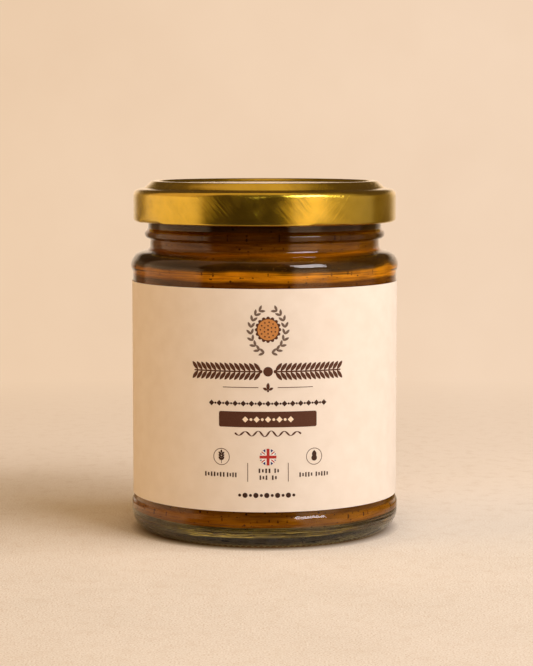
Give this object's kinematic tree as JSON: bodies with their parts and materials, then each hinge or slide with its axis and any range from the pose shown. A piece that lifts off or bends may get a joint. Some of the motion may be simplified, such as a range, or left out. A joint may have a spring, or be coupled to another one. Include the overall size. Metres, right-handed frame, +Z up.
{
  "type": "jar of biscuit spread",
  "caption": "Round glass jar filled with brown biscuit spread, with a wrap-round paper label and a shut gold metal twist-off lid.",
  "frame": {"origin": "centre of the circle that the jar stands on, at the base plane", "axes": "+Z up along the jar's axis; the printed front of the label faces -Y"},
  "size_m": [0.067, 0.067, 0.0874],
  "materials": {
    "clear_glass": "clear flint glass with a faint olive tint in the thick base",
    "biscuit_spread": "smooth brown nut-butter-like spread with fine dark specks, wetting the glass",
    "label_paper": "uncoated cream paper, printed in brown",
    "gold_lacquer": "gold-lacquered tinplate, satin, with fine hairline scratches"
  },
  "bodies": {
    "root": {"glass_jar": "clear_glass", "spread": "biscuit_spread", "label": "label_paper", "lid": "gold_lacquer"}
  },
  "joints": []
}
